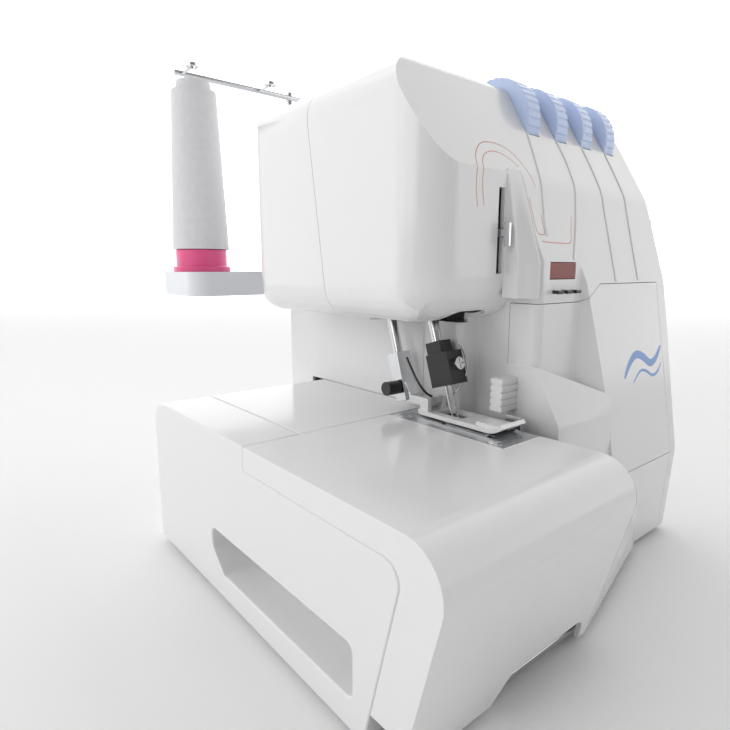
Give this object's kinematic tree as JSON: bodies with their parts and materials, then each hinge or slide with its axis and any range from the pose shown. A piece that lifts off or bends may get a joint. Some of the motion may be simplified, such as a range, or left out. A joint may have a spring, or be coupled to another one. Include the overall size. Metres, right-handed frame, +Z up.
{
  "type": "serger overlock machine",
  "caption": "Home serger sewing machine with tension dials, front and bed covers, sliding table, presser foot, handwheel, spool stand and thread tree.",
  "frame": {"origin": "centre of the overall box on the surface that the machine stands on", "axes": "+X to the right of the person sewing, +Y away from them, +Z up"},
  "size_m": [0.335, 0.3616, 0.339],
  "materials": {
    "casing_white": "glossy moulded ABS",
    "cover_white": "glossy moulded ABS",
    "stand_grey": "satin moulded ABS",
    "dial_blue": "periwinkle blue moulded plastic",
    "knob_white": "moulded plastic",
    "cast_alloy": "cast and painted light alloy",
    "plate_steel": "ground and brushed steel",
    "bright_steel": "polished steel",
    "pressed_steel": "zinc-plated sheet steel",
    "bronze": "sintered bronze",
    "rubber": "moulded rubber",
    "black_plastic": "black moulded plastic",
    "black_clamp": "black oxide steel",
    "motor_grey": "painted steel can",
    "window_red": "dark red clear-coated window",
    "core_pink": "pink moulded polypropylene",
    "thread_white": "wound polyester thread",
    "lamp_glass": "frosted lamp cover"
  },
  "bodies": {
    "frame": {"base_plate": "pressed_steel", "rubber_feet": "rubber", "rear_casing": "casing_white", "front_casing": "casing_white", "bed_cover_hinge_pin": "bright_steel", "free_arm": "cover_white", "front_skirt": "cover_white", "front_cover_hinge_pin": "bright_steel", "needle_plate": "plate_steel", "needle_plate_screws": "bright_steel", "frame_casting": "cast_alloy", "shaft_bearings": "bronze", "needle_bar_bushes": "bronze", "presser_bar_bushes": "bronze", "drive_belt": "rubber", "motor": "motor_grey", "lower_knife": "plate_steel", "tension_shaft": "bright_steel", "tension_discs": "bright_steel", "thread_guides": "black_clamp", "stitch_window": "window_red", "power_inlet": "black_plastic", "lamp": "lamp_glass", "spool_stand": "stand_grey", "spool_pins": "stand_grey", "cone_holder": "core_pink", "tree_pole": "bright_steel", "casing_screws": "bright_steel", "presser_spring": "pressed_steel"},
    "front_cover": {"front_cover": "cover_white"},
    "bed_cover": {"bed_cover": "cover_white"},
    "extension_table": {"extension_table": "cover_white"},
    "drive_wheel": {"handwheel": "knob_white", "main_shaft": "bright_steel", "shaft_pulley": "black_plastic"},
    "motor_pulley": {"motor_pulley": "cast_alloy"},
    "needle_bar": {"needle_bar": "bright_steel", "needle_clamp": "black_clamp", "clamp_screws": "bright_steel", "needles": "bright_steel"},
    "take_up_lever": {"take_up_lever": "bright_steel"},
    "presser_bar": {"presser_bar": "bright_steel", "foot_holder": "bright_steel", "foot_release_knob": "black_plastic"},
    "presser_foot": {"presser_foot": "bright_steel"},
    "presser_lever": {"presser_lever": "knob_white"},
    "feed_dogs": {"feed_dogs": "plate_steel"},
    "lower_looper": {"lower_looper": "bright_steel"},
    "upper_looper": {"upper_looper": "bright_steel"},
    "upper_knife": {"upper_knife": "plate_steel"},
    "tension_dial_1": {"tension_dial_1": "dial_blue"},
    "tension_dial_2": {"tension_dial_2": "dial_blue"},
    "tension_dial_3": {"tension_dial_3": "dial_blue"},
    "tension_dial_4": {"tension_dial_4": "dial_blue"},
    "side_knob": {"side_knob": "knob_white"},
    "stitch_length_dial": {"stitch_length_dial": "knob_white"},
    "power_switch": {"power_switch": "black_plastic"},
    "thread_cone": {"thread_cone": "thread_white"},
    "tree_rod": {"tree_rod": "bright_steel"}
  },
  "joints": [
    {"name": "front_cover_tilt", "type": "hinge", "parent": "frame", "child": "front_cover", "pos_m": [0, -0.1268, 0.011], "axis": [1, 0, 0], "range_deg": [0, 42]},
    {"name": "bed_cover_swing", "type": "hinge", "parent": "frame", "child": "bed_cover", "pos_m": [-0.1605, 0, 0.0105], "axis": [0, -1, 0], "range_deg": [0, 40]},
    {"name": "table_slide", "type": "slide", "parent": "frame", "child": "extension_table", "axis": [-1, 0, 0], "range_m": [0, 0.12]},
    {"name": "handwheel_turn", "type": "hinge", "parent": "frame", "child": "drive_wheel", "pos_m": [0, 0.012, 0.092], "axis": [1, 0, 0], "continuous": true},
    {"name": "motor_turn", "type": "hinge", "parent": "frame", "child": "motor_pulley", "pos_m": [0, 0.062, 0.034], "axis": [1, 0, 0], "continuous": true},
    {"name": "needle_bar_slide", "type": "slide", "parent": "frame", "child": "needle_bar", "axis": [0, 0.3007, 0.9537], "range_m": [-0.002, 0.022]},
    {"name": "take_up_swing", "type": "hinge", "parent": "frame", "child": "take_up_lever", "pos_m": [0, -0.07, 0.214], "axis": [-1, 0, 0], "range_deg": [-4, 32]},
    {"name": "presser_lift", "type": "slide", "parent": "frame", "child": "presser_bar", "axis": [0, 0.3007, 0.9537], "range_m": [0, 0.006]},
    {"name": "presser_lever_turn", "type": "hinge", "parent": "frame", "child": "presser_lever", "pos_m": [0, 0.0638, 0.197], "axis": [1, 0, 0], "range_deg": [0, 62]},
    {"name": "foot_tilt", "type": "hinge", "parent": "presser_bar", "child": "presser_foot", "pos_m": [0, -0.066, 0.1064], "axis": [-1, 0, 0], "range_deg": [0, 10]},
    {"name": "feed_slide", "type": "slide", "parent": "frame", "child": "feed_dogs", "axis": [0, -1, 0], "range_m": [-0.0005, 0.0027]},
    {"name": "lower_looper_swing", "type": "hinge", "parent": "frame", "child": "lower_looper", "pos_m": [-0.014, 0, 0.044], "axis": [0, -1, 0], "range_deg": [-2, 19]},
    {"name": "upper_looper_swing", "type": "hinge", "parent": "frame", "child": "upper_looper", "pos_m": [-0.014, 0, 0.068], "axis": [0, 1, 0], "range_deg": [-2, 13]},
    {"name": "upper_knife_stroke", "type": "slide", "parent": "frame", "child": "upper_knife", "axis": [0, 0, 1], "range_m": [-0.0008, 0.0063]},
    {"name": "tension_dial_1_turn", "type": "hinge", "parent": "frame", "child": "tension_dial_1", "pos_m": [0, -0.0578, 0.268], "axis": [1, 0, 0], "range_deg": [-150, 150]},
    {"name": "tension_dial_2_turn", "type": "hinge", "parent": "frame", "child": "tension_dial_2", "pos_m": [0, -0.0578, 0.268], "axis": [1, 0, 0], "range_deg": [-150, 150]},
    {"name": "tension_dial_3_turn", "type": "hinge", "parent": "frame", "child": "tension_dial_3", "pos_m": [0, -0.0578, 0.268], "axis": [1, 0, 0], "range_deg": [-150, 150]},
    {"name": "tension_dial_4_turn", "type": "hinge", "parent": "frame", "child": "tension_dial_4", "pos_m": [0, -0.0578, 0.268], "axis": [1, 0, 0], "range_deg": [-150, 150]},
    {"name": "side_knob_turn", "type": "hinge", "parent": "frame", "child": "side_knob", "pos_m": [0, -0.0968, 0.21386], "axis": [1, 0, 0], "range_deg": [-150, 150]},
    {"name": "stitch_length_turn", "type": "hinge", "parent": "frame", "child": "stitch_length_dial", "pos_m": [0, 0.016, 0.034], "axis": [1, 0, 0], "range_deg": [-150, 150]},
    {"name": "power_switch_rock", "type": "hinge", "parent": "frame", "child": "power_switch", "pos_m": [0.115, 0, 0.063], "axis": [0, 1, 0], "range_deg": [-6, 6]},
    {"name": "thread_cone_turn", "type": "hinge", "parent": "frame", "child": "thread_cone", "pos_m": [-0.1005, 0.145, 0], "axis": [0, 0, 1], "continuous": true},
    {"name": "thread_tree_rise", "type": "slide", "parent": "frame", "child": "tree_rod", "axis": [0, 0, 1], "range_m": [0, 0.13]}
  ],
  "couplings": [
    {"joint": "motor_turn", "follows": "handwheel_turn", "ratio": 3.25},
    {"joint": "take_up_swing", "follows": "needle_bar_slide", "rad_per_m": 23.8},
    {"joint": "presser_lever_turn", "follows": "presser_lift", "rad_per_m": 174.53},
    {"joint": "feed_slide", "follows": "needle_bar_slide", "ratio": 0.12},
    {"joint": "lower_looper_swing", "follows": "needle_bar_slide", "rad_per_m": 14.28},
    {"joint": "upper_looper_swing", "follows": "needle_bar_slide", "rad_per_m": 9.52},
    {"joint": "upper_knife_stroke", "follows": "needle_bar_slide", "ratio": 0.26}
  ]
}
